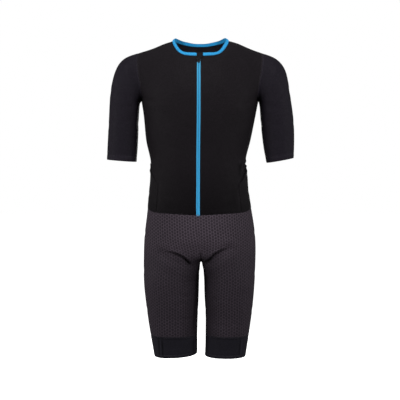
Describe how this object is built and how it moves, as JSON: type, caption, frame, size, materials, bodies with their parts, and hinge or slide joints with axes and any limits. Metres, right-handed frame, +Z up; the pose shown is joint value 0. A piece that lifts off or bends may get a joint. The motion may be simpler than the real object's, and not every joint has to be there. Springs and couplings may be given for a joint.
{
  "type": "triathlon suit",
  "caption": "Short-sleeved all-in-one triathlon suit with a full front zip, side pockets, honeycomb-knit shorts and elastic leg bands, filled out with no wearer.",
  "frame": {"origin": "between the tops of the shoulders, where the wearer holds the suit up", "axes": "+Z up towards the neck, front of the suit towards -Y, the wearer's left towards +X"},
  "size_m": [0.568, 0.2312, 0.9655],
  "materials": {
    "body_knit": "smooth black knit",
    "sleeve_knit": "smooth blue-black knit",
    "honeycomb_knit": "dark knit with a lighter honeycomb net",
    "gripper_elastic": "smooth black elastic",
    "blue_binding": "blue knit binding",
    "blue_zip_tape": "blue woven tape",
    "zip_plastic": "blue moulded plastic",
    "slider_paint": "black enamelled metal"
  },
  "bodies": {
    "garment": {"front_left": "body_knit", "front_right": "body_knit", "back": "body_knit", "sleeve_left": "sleeve_knit", "sleeve_right": "sleeve_knit", "pocket_left": "body_knit", "pocket_right": "body_knit", "neck_binding": "blue_binding", "zip_tape_left": "blue_zip_tape", "zip_tape_right": "blue_zip_tape", "zip_chain": "zip_plastic", "zip_slider": "slider_paint", "zip_stop": "zip_plastic", "zip_garage": "body_knit", "shorts_front": "honeycomb_knit", "shorts_back": "honeycomb_knit", "gripper_left": "gripper_elastic", "gripper_right": "gripper_elastic"},
    "pull_tab": {"zip_pull": "slider_paint"}
  },
  "joints": [
    {"name": "pull_tab_hinge", "type": "hinge", "parent": "garment", "child": "pull_tab", "pos_m": [-0.00202, -0.07862, -0.03849], "axis": [-1, 0.0008, 0.0017], "range_deg": [0, 150]}
  ]
}
